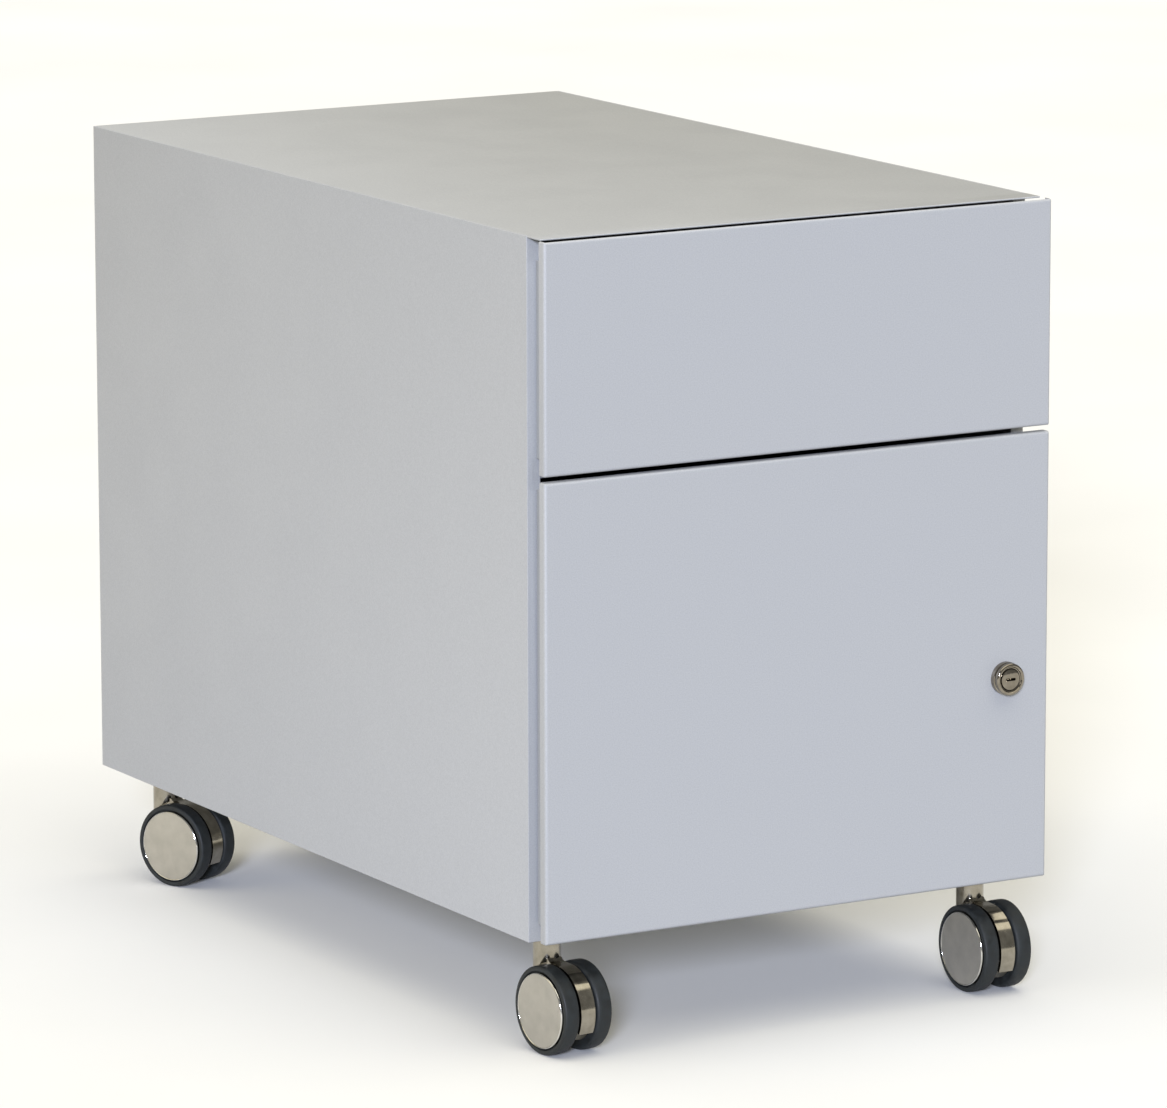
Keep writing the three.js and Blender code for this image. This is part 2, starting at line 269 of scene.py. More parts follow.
def raised(
    tree: bpy.types.NodeTree, height: bpy.types.NodeSocket, depth_mm: float,
    under: bpy.types.NodeSocket | None = None,
) -> bpy.types.NodeSocket:
    """A bump of so many millimetres from a height of 0 to 1, laid over another if given.

    Args:
        tree: the material's tree.
        height: the height, from 0 to 1.
        depth_mm: how high a height of 1 stands.
        under: the normal that the bump is laid over.

    Returns:
        The socket with the normal.
    """
    bump = add_node(tree, "ShaderNodeBump", {"Distance": depth_mm * MM, "Strength": 1.0}, {"Height": height})
    if under:
        tree.links.new(under, bump.inputs["Normal"])
    return bump.outputs[0]


@dataclass(frozen=True)
class PowderCoat(Finish):
    """Silver-grey polyester powder, sprayed and baked: a satin skin with a faint orange peel.

    The peel is a few millimetres across and breaks highlights up softly. The metallic flake
    in the powder shows as a fine speckle, drawn about 0.9 mm wide so that it can be seen.
    """

    dark: str = "#b7b8b8"
    light: str = "#c3c4c4"
    metallic: float = 0.06
    roughness: tuple[float, float] = (0.42, 0.5)
    peel_mm: float = 2.6
    peel_height_mm: float = 0.012
    speckle_mm: float = 0.9

    def surface(self, tree: bpy.types.NodeTree, shader: bpy.types.Node, place: bpy.types.NodeSocket) -> None:
        """Speckled colour, uneven gloss and orange peel.

        Args:
            tree: the material's tree.
            shader: the shader to fill in.
            place: the coordinates, in metres.
        """
        speckle = noise(tree, place, self.speckle_mm, 3.0)
        tree.links.new(shade_between(tree, speckle, self.dark, self.light), shader.inputs["Base Color"])
        cloud = noise(tree, place, 60.0, 1.0)
        tree.links.new(between(tree, cloud, *self.roughness), shader.inputs["Roughness"])
        shader.inputs["Metallic"].default_value = self.metallic
        peel = noise(tree, place, self.peel_mm, 1.0)
        coarse = raised(tree, peel, self.peel_height_mm)
        grain = raised(tree, noise(tree, place, 0.6, 1.0), 0.004, coarse)
        tree.links.new(grain, shader.inputs["Normal"])


@dataclass(frozen=True)
class ZincPlate(Finish):
    """Cold-rolled steel strip with bright zinc plating: fine lines along the rolling direction."""

    dark: str = "#a9acad"
    light: str = "#b6b8b9"
    rolled_along: Point3 = (1, 0.02, 1)
    line_mm: float = 0.7

    def surface(self, tree: bpy.types.NodeTree, shader: bpy.types.Node, place: bpy.types.NodeSocket) -> None:
        """Rolling lines in colour, gloss and height.

        Args:
            tree: the material's tree.
            shader: the shader to fill in.
            place: the coordinates, in metres.
        """
        lines = noise(tree, place, self.line_mm, 3.0, self.rolled_along)
        bloom = noise(tree, place, 14.0, 2.0)
        tree.links.new(shade_between(tree, bloom, self.dark, self.light), shader.inputs["Base Color"])
        tree.links.new(between(tree, lines, 0.34, 0.44), shader.inputs["Roughness"])
        shader.inputs["Metallic"].default_value = 1.0
        tree.links.new(raised(tree, lines, 0.001), shader.inputs["Normal"])


@dataclass(frozen=True)
class Chrome(Finish):
    """Bright chrome over a zinc die casting: a mirror with a faint ripple and fine wiping marks."""

    dark: str = "#c8c6bf"
    light: str = "#dcdad4"
    gloss: tuple[float, float] = (0.06, 0.14)
    ripple_mm: float = 7.0
    ripple_height_mm: float = 0.02

    def surface(self, tree: bpy.types.NodeTree, shader: bpy.types.Node, place: bpy.types.NodeSocket) -> None:
        """Mirror with a ripple and smeary gloss.

        Args:
            tree: the material's tree.
            shader: the shader to fill in.
            place: the coordinates, in metres.
        """
        film = noise(tree, place, 5.0, 3.0)
        tree.links.new(shade_between(tree, film, self.dark, self.light), shader.inputs["Base Color"])
        tree.links.new(between(tree, film, *self.gloss), shader.inputs["Roughness"])
        shader.inputs["Metallic"].default_value = 1.0
        ripple = raised(tree, noise(tree, place, self.ripple_mm, 1.0), self.ripple_height_mm)
        tree.links.new(ripple, shader.inputs["Normal"])


@dataclass(frozen=True)
class SatinChrome(Finish):
    """Satin chrome, blasted fine before plating: it shows soft, blurred reflections."""

    dark: str = "#b3afa6"
    light: str = "#bfbbb2"
    grit_mm: float = 0.7

    def surface(self, tree: bpy.types.NodeTree, shader: bpy.types.Node, place: bpy.types.NodeSocket) -> None:
        """Fine grit and cloudy wear.

        Args:
            tree: the material's tree.
            shader: the shader to fill in.
            place: the coordinates, in metres.
        """
        wear = noise(tree, place, 9.0, 3.0)
        tree.links.new(shade_between(tree, wear, self.dark, self.light), shader.inputs["Base Color"])
        tree.links.new(between(tree, wear, 0.3, 0.4), shader.inputs["Roughness"])
        shader.inputs["Metallic"].default_value = 1.0
        tree.links.new(raised(tree, noise(tree, place, self.grit_mm, 2.0), 0.004), shader.inputs["Normal"])


@dataclass(frozen=True)
class Rubber(Finish):
    """Black thermoplastic rubber, moulded: matt, a little dusty where it rolls."""

    dark: str = "#121617"
    light: str = "#24292a"

    def surface(self, tree: bpy.types.NodeTree, shader: bpy.types.Node, place: bpy.types.NodeSocket) -> None:
        """Dusty mottle and a fine moulded grain.

        Args:
            tree: the material's tree.
            shader: the shader to fill in.
            place: the coordinates, in metres.
        """
        dust = noise(tree, place, 6.0, 4.0)
        mottle = shade_between(tree, dust, self.dark, self.light, 0.35, 0.75)
        tree.links.new(mottle, shader.inputs["Base Color"])
        tree.links.new(between(tree, dust, 0.5, 0.72), shader.inputs["Roughness"])
        tree.links.new(raised(tree, noise(tree, place, 0.8, 2.0), 0.02), shader.inputs["Normal"])


@dataclass(frozen=True)
class MouldedPlastic(Finish):
    """Black nylon, injection moulded with a fine spark-eroded grain."""

    dark: str = "#101112"
    light: str = "#191a1c"

    def surface(self, tree: bpy.types.NodeTree, shader: bpy.types.Node, place: bpy.types.NodeSocket) -> None:
        """Even black with an eroded grain.

        Args:
            tree: the material's tree.
            shader: the shader to fill in.
            place: the coordinates, in metres.
        """
        grain = noise(tree, place, 0.7, 3.0)
        tree.links.new(shade_between(tree, grain, self.dark, self.light), shader.inputs["Base Color"])
        tree.links.new(between(tree, grain, 0.4, 0.55), shader.inputs["Roughness"])
        tree.links.new(raised(tree, grain, 0.01), shader.inputs["Normal"])


@dataclass(frozen=True)
class PaintedFloor(Finish):
    """Matt white studio floor paint with a barely visible roller texture."""

    def surface(self, tree: bpy.types.NodeTree, shader: bpy.types.Node, place: bpy.types.NodeSocket) -> None:
        """Near white, matt.

        Args:
            tree: the material's tree.
            shader: the shader to fill in.
            place: the coordinates, in metres.
        """
        cloud = noise(tree, place, 400.0, 2.0)
        tree.links.new(shade_between(tree, cloud, "#f3f3f2", "#f8f8f7"), shader.inputs["Base Color"])
        tree.links.new(between(tree, cloud, 0.8, 0.9), shader.inputs["Roughness"])
        shader.inputs["Specular IOR Level"].default_value = 0.2


POWDER = PowderCoat("silver_grey_powder_coat", "powder_coat")
INNER_POWDER = PowderCoat("inner_grey_powder_coat", "inner_coat", "#a9abac", "#b4b6b7")
ZINC = ZincPlate("zinc_plated_strip", "zinc_steel")
STEEL_BALL = Chrome("polished_steel_ball", "zinc_steel", "#b9bbbc", "#cfd0d0")
CHROME = Chrome("bright_chrome_plate", "chrome")
# The hood's chrome has a dark, brownish base colour: painted shade that stands in for the dark surroundings
# its mirror reflects.
SHADED_HOOD_CHROME = Chrome("hood_chrome_plate", "chrome", "#8f897c", "#a59f92", (0.09, 0.16))
# The lock's chrome has a dark, brownish base colour: painted shade that stands in for the dark surroundings
# its mirror reflects.
SHADED_LOCK_CHROME = Chrome("lock_chrome_plate", "chrome", "#817a6e", "#989185", (0.06, 0.12))
CAP = SatinChrome("satin_chrome_cap", "satin_cap")
TYRE = Rubber("moulded_tyre_rubber", "rubber")
NYLON = MouldedPlastic("black_nylon", "rubber")
FLOOR = PaintedFloor("white_floor_paint", "")


# ---------------------------------------------------------------- meshes


def mesh_piece(name: str, points: Sequence[Point3], faces: Sequence[Sequence[int]]) -> bpy.types.Object:
    """Makes an object at the origin from points in the object's frame.

    Args:
        name: the piece's name.
        points: its vertices, in metres.
        faces: its faces, as vertex numbers.

    Returns:
        The linked object, with its faces pointing outwards.
    """
    mesh = bpy.data.meshes.new(name)
    mesh.from_pydata([tuple(p) for p in points], [], [tuple(f) for f in faces])
    piece = bpy.data.objects.new(name, mesh)
    bpy.context.scene.collection.objects.link(piece)
    point_outwards(piece)
    return piece


def point_outwards(piece: bpy.types.Object) -> None:
    """Merges doubles and turns the faces of a closed mesh outwards.

    Args:
        piece: the piece whose mesh is put right.
    """
    work = bmesh.new()
    work.from_mesh(piece.data)
    bmesh.ops.remove_doubles(work, verts=work.verts, dist=0.002 * MM)
    bmesh.ops.recalc_face_normals(work, faces=work.faces)
    work.to_mesh(piece.data)
    work.free()


def settle(piece: bpy.types.Object) -> bpy.types.Object:
    """Replaces a piece's mesh with what its modifiers make of it, and removes them.

    Args:
        piece: the piece with its modifiers set.

    Returns:
        The same piece, with no modifiers left.
    """
    bpy.context.view_layer.update()
    seen = piece.evaluated_get(bpy.context.evaluated_depsgraph_get())
    made = bpy.data.meshes.new_from_object(seen)
    made.name = piece.name
    piece.modifiers.clear()
    piece.data = made
    return piece


def soften(piece: bpy.types.Object, width_mm: float, steps: int = 2, angle: float = 30.0) -> bpy.types.Object:
    """Rounds the sharp edges of a piece and shades it smooth.

    Args:
        piece: the piece to finish.
        width_mm: the width of the rounding.
        steps: how many faces the rounding has.
        angle: edges sharper than this are rounded, in degrees.

    Returns:
        The same piece, with no modifiers left.
    """
    rounding = piece.modifiers.new("edge rounding", "BEVEL")
    rounding.width = width_mm * MM
    rounding.segments = steps
    rounding.limit_method = "ANGLE"
    rounding.angle_limit = math.radians(angle)
    rounding.use_clamp_overlap = True
    rounding.harden_normals = True
    piece.data.shade_smooth()
    settle(piece)
    return piece


def smooth(piece: bpy.types.Object, angle: float = 32.0) -> bpy.types.Object:
    """Shades a piece smooth except at sharp edges.

    Args:
        piece: the piece to shade.
        angle: edges sharper than this stay sharp, in degrees.

    Returns:
        The same piece.
    """
    piece.data.shade_smooth()
    piece.data.set_sharp_from_angle(angle=math.radians(angle))
    return piece


def copy_of(node: str, name: str) -> bpy.types.Object:
    """A merged copy of a CAD node with flat faces made whole, ready to be finished.

    Args:
        node: the CAD node.
        name: the copy's name.

    Returns:
        The copy, linked and without a material.
    """
    mesh = frame["nodes"][node].data.copy()
    mesh.name = name
    mesh.materials.clear()
    piece = bpy.data.objects.new(name, mesh)
    bpy.context.scene.collection.objects.link(piece)
    work = bmesh.new()
    work.from_mesh(mesh)
    bmesh.ops.remove_doubles(work, verts=work.verts, dist=0.005 * MM)
    bmesh.ops.dissolve_limit(work, angle_limit=math.radians(1.0), verts=work.verts, edges=work.edges)
    work.to_mesh(mesh)
    work.free()
    return piece


def boolean(piece: bpy.types.Object, tool: bpy.types.Object, how: str) -> bpy.types.Object:
    """Joins, cuts or intersects a piece with a tool, which is used up.

    Args:
        piece: the piece that is changed.
        tool: the closed shape that changes it.
        how: UNION, DIFFERENCE or INTERSECT.

    Returns:
        The same piece.
    """
    step = piece.modifiers.new(how.lower(), "BOOLEAN")
    step.operation = how
    step.solver = "EXACT"
    step.object = tool
    settle(piece)
    used = tool.data
    bpy.data.objects.remove(tool)
    bpy.data.meshes.remove(used)
    return piece


def fit(
    piece: bpy.types.Object, finish: Finish, body: str, stands_for: Iterable[str] = ()
) -> bpy.types.Object:
    """Dresses a piece and puts it on its CAD body.

    Args:
        piece: the finished piece.
        finish: its finish.
        body: the CAD body that it moves with.
        stands_for: the CAD nodes that it replaces.

    Returns:
        The same piece.
    """
    piece.data.materials.clear()
    piece.data.materials.append(finish.material())
    for polygon in piece.data.polygons:
        polygon.material_index = 0
    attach(piece, body)
    nodes = list(stands_for)
    if nodes:
        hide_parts(*nodes)
    log.info("%s: %d faces, on %s", piece.name, len(piece.data.polygons), body)
    return piece


def dress_node(node: str, finish: Finish) -> None:
    """Gives a CAD node that stays in view its finish.

    Args:
        node: the CAD node.
        finish: its finish.
    """
    kept = frame["nodes"][node]
    if not kept.material_slots:
        kept.data.materials.append(None)
    for place in kept.material_slots:
        place.material = finish.material()
    log.info("%s: kept as drawn", node)


def bend_lines(
    path: Sequence[Point2], thickness: float, radius: float, steps: int = 5
) -> tuple[list[Point2], list[Point2]]:
    """The two faces of a bent sheet in section.

    Args:
        path: the sharp-cornered line of the sheet's right-hand face; the sheet is on its left.
        thickness: the sheet's thickness.
        radius: the outside radius of each bend.
        steps: how many faces each bend has.

    Returns:
        The right-hand line and the left-hand line, with as many points each.
    """
    points = [Vector(p) for p in path]
    near: list[Point2] = []
    far: list[Point2] = []
    for i, corner in enumerate(points):
        before = (corner - points[i - 1]).normalized() if i else None
        after = (points[i + 1] - corner).normalized() if i + 1 < len(points) else None
        if before is None or after is None:
            along = after if before is None else before
            left = Vector((-along.y, along.x))
            near.append(tuple(corner))
            far.append(tuple(corner + left * thickness))
            continue
        turn = before.x * after.y - before.y * after.x
        side = 1 if turn > 0 else -1
        reach = radius if side > 0 else radius - thickness
        angle = math.acos(max(-1.0, min(1.0, before.dot(after))))
        back_off = reach * math.tan(angle / 2)
        start = corner - before * back_off
        left = Vector((-before.y, before.x))
        centre = start + left * side * reach
        spoke = -left * side
        for k in range(steps + 1):
            swing = side * angle * k / steps
            ray = Vector(
                (
                    spoke.x * math.cos(swing) - spoke.y * math.sin(swing),
                    spoke.x * math.sin(swing) + spoke.y * math.cos(swing),
                )
            )
            near.append(tuple(centre + ray * reach))
            far.append(tuple(centre + ray * (reach - side * thickness)))
    return near, far


def rounded_loop(corners: Sequence[Point2], inset: float, radius: float, steps: int = 4) -> list[Point2]:
    """A convex outline moved inwards, with round corners and a fixed number of points.

    Args:
        corners: the sharp corners, counter-clockwise.
        inset: how far inwards it moves; outwards if negative.
        radius: the corner radius of the outline that isn't moved.
        steps: how many faces each corner has.

    Returns:
        The points of the loop.
    """
    count = len(corners)
    loop: list[Point2] = []
    turned_radius = max(radius - inset, 0.01 * MM)
    for i in range(count):
        corner = Vector(corners[i])
        before = (corner - Vector(corners[i - 1])).normalized()
        after = (Vector(corners[(i + 1) % count]) - corner).normalized()
        left = Vector((-before.y, before.x))
        left_after = Vector((-after.y, after.x))
        moved = corner + (left + left_after) * (inset / (1 + left.dot(left_after)))
        angle = math.acos(max(-1.0, min(1.0, before.dot(after))))
        start = moved - before * (turned_radius * math.tan(angle / 2))
        centre = start + left * turned_radius
        for k in range(steps + 1):
            swing = angle * k / steps
            spoke = -left
            loop.append(
                (
                    centre.x + turned_radius * (spoke.x * math.cos(swing) - spoke.y * math.sin(swing)),
                    centre.y + turned_radius * (spoke.x * math.sin(swing) + spoke.y * math.cos(swing)),
                )
            )
    return loop


def folded_box(
    name: str, corners: Sequence[Point2], profile: Sequence[Point2], level: float, lay: Lay,
    thickness: float, bend: float, corner: float, steps: int = 5,
) -> bpy.types.Object:
    """A pan or tray folded from one sheet.

    Args:
        name: the piece's name.
        corners: the outline of its floor, counter-clockwise.
        profile: points of (inset from the outline, depth) from the free edge to the floor,
            along the outer face.
        level: where depth 0 lies along the third axis.
        lay: how the outline and the depth lie.
        thickness: the sheet's thickness.
        bend: the outside radius of its bends.
        corner: the radius of its corners in plan.
        steps: how many faces a bend has.

    Returns:
        The closed piece.
    """
    outer, inner = bend_lines(profile, thickness, bend, steps)
    rows = [*outer, *reversed(inner)]
    points: list[Point3] = []
    faces: list[list[int]] = []
    size = 0
    for inset, depth in rows:
        loop = rounded_loop(corners, inset, corner)
        size = len(loop)
        points += [lay.place(a, b, level + depth) for a, b in loop]
    half = len(outer)
    for row in range(len(rows)):
        if row == half - 1:
            continue
        following = (row + 1) % len(rows)
        for k in range(size):
            after = (k + 1) % size
            faces.append([row * size + k, row * size + after, following * size + after, following * size + k])
    faces.append([(half - 1) * size + k for k in range(size)])
    faces.append([half * size + k for k in reversed(range(size))])
    return mesh_piece(name, points, faces)


def turned(
    name: str, profile: Sequence[Point2], sides: int, place: Matrix
) -> bpy.types.Object:
    """A turned piece.

    Args:
        name: the piece's name.
        profile: points of (radius, distance along the axis), closed on itself or on the axis.
        sides: how many faces go round it.
        place: puts the axis, which is X before it, where it belongs.

    Returns:
        The closed piece.
    """
    points: list[Point3] = []
    faces: list[list[int]] = []
    for radius, along in profile:
        for k in range(sides):
            angle = 2 * math.pi * k / sides
            spot = Vector((along, radius * math.cos(angle), radius * math.sin(angle)))
            points.append(tuple(place @ spot))
    rows = len(profile)
    closed = profile[0][0] > 0
    for row in range(rows if closed else rows - 1):
        here, there = row * sides, (row + 1) % rows * sides
        for k in range(sides):
            after = (k + 1) % sides
            faces.append([here + k, here + after, there + after, there + k])
    return mesh_piece(name, points, faces)


def quarter_round(
    radius: float, along: float, out: float, side: float, steps: int
) -> list[Point2]:
    """Points of a quarter of an ellipse on a turned profile, without its ends.

    Args:
        radius: the radius of its centre.
        along: where its centre is along the axis.
        out: how far it reaches outwards.
        side: how far it reaches along the axis, with its sign.
        steps: how many faces it has.

    Returns:
        Points from the face to the tread.
    """
    angles = [math.pi / 2 * k / steps for k in range(1, steps)]
    return [(radius + out * math.sin(angle), along + side * math.cos(angle)) for angle in angles]


def plate(
    name: str, outline: Sequence[Point2], low: float, high: float, place: Matrix
) -> bpy.types.Object:
    """A flat plate across X from an outline in (y, z).

    Args:
        name: the piece's name.
        outline: its outline as points of (y, z).
        low: where its left face is.
        high: where its right face is.
        place: puts it where it belongs.

    Returns:
        The closed piece.
    """
    count = len(outline)
    points = [tuple(place @ Vector((x, y, z))) for x in (low, high) for y, z in outline]
    faces = [list(range(count)), [count + k for k in reversed(range(count))]]
    faces += [[k, (k + 1) % count, count + (k + 1) % count, count + k] for k in range(count)]
    return mesh_piece(name, points, faces)


# ---------------------------------------------------------------- repeated pieces


@dataclass(frozen=True)
class Row:
    """Where a rule puts repeated pieces: rows of equal steps."""

    start: Point3
    step: Point3
    count: int
    row_step: Point3 = (0.0, 0.0, 0.0)
    rows: int = 1


class Rule:
    """A Geometry Nodes tree with named inputs, which makes one plain mesh each time it is run."""

    title: str = ""
    wanted: dict[str, str] = {}

    def __init__(self) -> None:
        """Builds the tree once, with the material it sets as its last input."""
        self.tree = bpy.data.node_groups.new(self.title, "GeometryNodeTree")
        face = self.tree.interface
        face.new_socket("Geometry", in_out="OUTPUT", socket_type="NodeSocketGeometry")
        self.inputs = {
            name: face.new_socket(name, in_out="INPUT", socket_type=kind).identifier
            for name, kind in {**self.wanted, "Finish": "NodeSocketMaterial"}.items()
        }
        given = self.tree.nodes.new("NodeGroupInput")
        out = self.tree.nodes.new("NodeGroupOutput")
        real = add_node(self.tree, "GeometryNodeRealizeInstances", None, {0: self.shape(given)})
        dressed = add_node(
            self.tree, "GeometryNodeSetMaterial", None,
            {"Geometry": real.outputs[0], "Material": given.outputs["Finish"]},
        )
        self.tree.links.new(dressed.outputs[0], out.inputs[0])

    def shape(self, given: bpy.types.Node) -> bpy.types.NodeSocket:
        """Adds the nodes that make the geometry; each rule has its own.

        Args:
            given: the node with the tree's inputs.

        Returns:
            The socket with the geometry.
        """
        raise NotImplementedError

    def make(self, name: str, finish: Finish, values: dict[str, object]) -> bpy.types.Object:
        """Runs the tree once.

        Args:
            name: the piece's name.
            finish: its finish.
            values: the named inputs and their values.

        Returns:
            The piece, as a plain mesh.
        """
        piece = bpy.data.objects.new(name, bpy.data.meshes.new(name))
        bpy.context.scene.collection.objects.link(piece)
        rule = piece.modifiers.new("rule", "NODES")
        rule.node_group = self.tree
        for key, value in {**values, "Finish": finish.material()}.items():
            rule[self.inputs[key]] = value
        return settle(piece)


class Repeater(Rule):
    """Puts one small shape in rows."""

    title = "small pieces in rows"
    wanted = {
        "Shape": "NodeSocketObject", "Start": "NodeSocketVector", "Step": "NodeSocketVector",
        "Count": "NodeSocketInt", "Row step": "NodeSocketVector", "Rows": "NodeSocketInt",
    }

    def shape(self, given: bpy.types.Node) -> bpy.types.NodeSocket:
        """Lines of points with the small shape on each.

        Args:
            given: the node with the tree's inputs.

        Returns:
            The socket with the geometry.
        """
        line = add_node(
            self.tree, "GeometryNodeMeshLine", {"mode": "OFFSET"},
            {"Count": given.outputs["Count"], "Start Location": given.outputs["Start"],
             "Offset": given.outputs["Step"]},
        )
        rows = add_node(
            self.tree, "GeometryNodeMeshLine", {"mode": "OFFSET"},
            {"Count": given.outputs["Rows"], "Offset": given.outputs["Row step"]},
        )
        small = add_node(self.tree, "GeometryNodeObjectInfo", None, {"Object": given.outputs["Shape"]})
        row = add_node(
            self.tree, "GeometryNodeInstanceOnPoints", None,
            {"Points": line.outputs[0], "Instance": small.outputs["Geometry"]},
        )
        grid = add_node(
            self.tree, "GeometryNodeInstanceOnPoints", None,
            {"Points": rows.outputs[0], "Instance": row.outputs[0]},
        )
        return grid.outputs[0]

    def run(
        self, name: str, shape: bpy.types.Object, row: Row, finish: Finish, body: str
    ) -> bpy.types.Object:
        """Makes one piece of many small ones.

        Args:
            name: the piece's name.
            shape: the small shape, drawn about the origin.
            row: where the copies go.
            finish: their finish.
            body: the CAD body that they move with.

        Returns:
            The dressed piece.
        """
        values = {
            "Shape": shape, "Start": row.start, "Step": row.step, "Count": row.count,
            "Row step": row.row_step, "Rows": row.rows,
        }
        piece = smooth(self.make(name, finish, values), 40.0)
        return fit(piece, finish, body)


class RingSweep(Rule):
    """Carries a closed section round a circle: tyres and rings."""

    title = "section round a circle"
    wanted = {"Section": "NodeSocketObject", "Radius": "NodeSocketFloat", "Steps": "NodeSocketInt"}

    def shape(self, given: bpy.types.Node) -> bpy.types.NodeSocket:
        """A circle for the path and the section as the profile carried along it.

        Args:
            given: the node with the tree's inputs.

        Returns:
            The socket with the geometry.
        """
        path = add_node(
            self.tree, "GeometryNodeCurvePrimitiveCircle", {"mode": "RADIUS"},
            {"Resolution": given.outputs["Steps"], "Radius": given.outputs["Radius"]},
        )
        section = add_node(self.tree, "GeometryNodeObjectInfo", None, {"Object": given.outputs["Section"]})
        outline = add_node(self.tree, "GeometryNodeMeshToCurve", None, {"Mesh": section.outputs["Geometry"]})
        swept = add_node(
            self.tree, "GeometryNodeCurveToMesh", None,
            {"Curve": path.outputs[0], "Profile Curve": outline.outputs[0]},
        )
        return swept.outputs[0]

    def run(
        self, name: str, section: Sequence[Point2], steps: int, finish: Finish, place: Matrix
    ) -> bpy.types.Object:
        """Makes one ring.

        Args:
            name: the piece's name.
            section: its closed section as points of (radius, distance along the axis).
            steps: how many faces go round it.
            finish: its finish.
            place: puts the axis, which is X before it, where it belongs.

        Returns:
            The closed piece, not yet dressed.
        """
        count = len(section)
        radius = sum(out for out, _ in section) / count
        points = [(out - radius, -along, 0.0) for out, along in section]
        edges = [(k, (k + 1) % count) for k in range(count)]
        outline = bpy.data.meshes.new("section")
        outline.from_pydata(points, edges, [])
        shape = bpy.data.objects.new("section", outline)
        bpy.context.scene.collection.objects.link(shape)
        ring = self.make(name, finish, {"Section": shape, "Radius": radius, "Steps": steps})
        drop(shape)
        ring.data.transform(place @ Matrix.Rotation(math.pi / 2, 4, "Y"))
        point_outwards(ring)
        return ring


def small_shape(name: str, profile: Sequence[Point2], sides: int, axis: str) -> bpy.types.Object:
    """A small turned shape about the origin, which only lends its mesh.

    Args:
        name: the shape's name.
        profile: points of (radius, distance along the axis).
        sides: how many faces go round it.
        axis: which way its head faces: "x", "-x", "y", "-y", "z" or "-z".

    Returns:
        The shape, which is removed after use.
    """
    turns = {
        "x": Matrix.Identity(4), "-x": Matrix.Rotation(math.pi, 4, "Z"),
        "y": Matrix.Rotation(math.pi / 2, 4, "Z"), "-y": Matrix.Rotation(-math.pi / 2, 4, "Z"),
        "z": Matrix.Rotation(-math.pi / 2, 4, "Y"), "-z": Matrix.Rotation(math.pi / 2, 4, "Y"),
    }
    return turned(name, profile, sides, turns[axis])


def drop(shape: bpy.types.Object) -> None:
    """Removes a shape that only lent its mesh.

    Args:
        shape: the shape to remove.
    """
    used = shape.data
    bpy.data.objects.remove(shape)
    bpy.data.meshes.remove(used)


def dome(radius: float, height: float, steps: int = 4) -> list[Point2]:
    """The profile of a domed rivet head that stands on a flat face.

    Args:
        radius: the head's radius.
        height: how high it stands.
        steps: how many faces its curve has.

    Returns:
        Points of (radius, distance along the axis).
    """
    profile = [(0.0, -0.3 * MM), (radius, -0.3 * MM), (radius, 0.0)]
    for k in range(1, steps + 1):
        angle = math.pi / 2 * k / steps
        profile.append((radius * math.cos(angle) if k < steps else 0.0, height * math.sin(angle)))
    return profile


# ---------------------------------------------------------------- case


@dataclass
class Case:
    """The folded steel case: skins, lids and rails, with its rivets."""

    edge_mm: float = 0.5
    rivet_mm: float = 2.4
    rivet_inset_mm: float = 6.2
    rivet_end_gap_mm: float = 30.0
    rivets_up: int = 5
    rivet_reach_mm: float = 75.0
    rivets_across: int = 4
    repeater: Repeater = field(default_factory=Repeater)
    skins: tuple[str, ...] = (
        "left_side_panel", "right_side_panel", "top_panel", "back_panel", "bottom_panel",
    )
    hidden: tuple[str, ...] = ("front_castor_channel", "rear_castor_channel", "middle_rail")

    def build(self) -> None:
        """Makes and dresses every piece of the case."""
        for node in self.skins:
            skin = soften(copy_of(node, f"{node}_skin"), self.edge_mm)
            fit(skin, POWDER, "case", [node])
        for node in self.hidden:
            inner = soften(copy_of(node, f"{node}_folded"), self.edge_mm * 0.8)
            fit(inner, INNER_POWDER, "case", [node])
        self.back_rivets()
        self.base_rivets()

    def back_rivets(self) -> None:
        """Pop rivets that hold the back panel to the flanges of the sides."""
        low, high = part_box("back_panel")
        _, side_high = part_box("right_side_panel")
        inset = self.rivet_inset_mm * MM
        end_gap = self.rivet_end_gap_mm * MM
        rise = (high.z - low.z - 2 * end_gap) / (self.rivets_up - 1)
        shape = small_shape("rivet", dome(self.rivet_mm * MM, 1.1 * MM), 20, "y")
        row = Row(
            (-side_high.x + inset, side_high.y, low.z + end_gap), (0, 0, rise), self.rivets_up,
            (2 * (side_high.x - inset), 0, 0), 2,
        )
        self.repeater.run("back_rivets", shape, row, ZINC, "case")
        drop(shape)

    def base_rivets(self) -> None:
        """Rivets under the base that hold the castor channels."""
        shape = small_shape("base rivet", dome(self.rivet_mm * MM, 1.0 * MM), 20, "-z")
        base_low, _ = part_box("bottom_panel")
        reach = self.rivet_reach_mm * MM
        step = 2 * reach / (self.rivets_across - 1)
        for word in ("front", "rear"):
            low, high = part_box(f"{word}_castor_channel")
            middle = (low.y + high.y) / 2
            row = Row((-reach, middle, base_low.z), (step, 0, 0), self.rivets_across)
            self.repeater.run(f"{word}_channel_rivets", shape, row, ZINC, "case")
        drop(shape)


# ---------------------------------------------------------------- drawers


